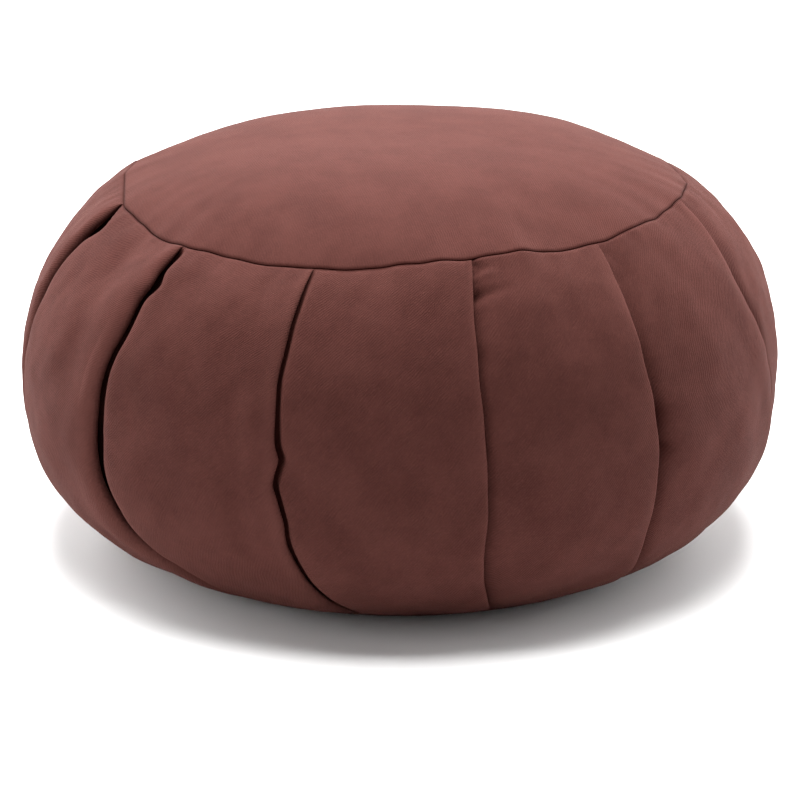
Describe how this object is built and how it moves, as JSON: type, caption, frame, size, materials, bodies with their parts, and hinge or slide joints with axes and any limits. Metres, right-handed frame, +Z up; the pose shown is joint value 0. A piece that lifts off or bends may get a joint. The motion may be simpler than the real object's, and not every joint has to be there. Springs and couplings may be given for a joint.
{
  "type": "zafu meditation cushion",
  "caption": "Round pleated floor cushion with a firm filled body, a domed round top panel and a flat round underside, in plain cotton twill.",
  "frame": {"origin": "on the floor under the middle of the cushion's box", "axes": "+Z up through the crown; the front of the picture is at -Y and its right is at +X"},
  "size_m": [0.358, 0.3602, 0.1935],
  "materials": {
    "top_cloth": "matte brushed cotton twill, dusty red-brown",
    "side_cloth": "matte brushed cotton twill, dusty red-brown",
    "bottom_cloth": "matte brushed cotton twill, dusty red-brown"
  },
  "bodies": {
    "root": {"top_panel": "top_cloth", "pleated_body": "side_cloth", "bottom_panel": "bottom_cloth"}
  },
  "joints": []
}
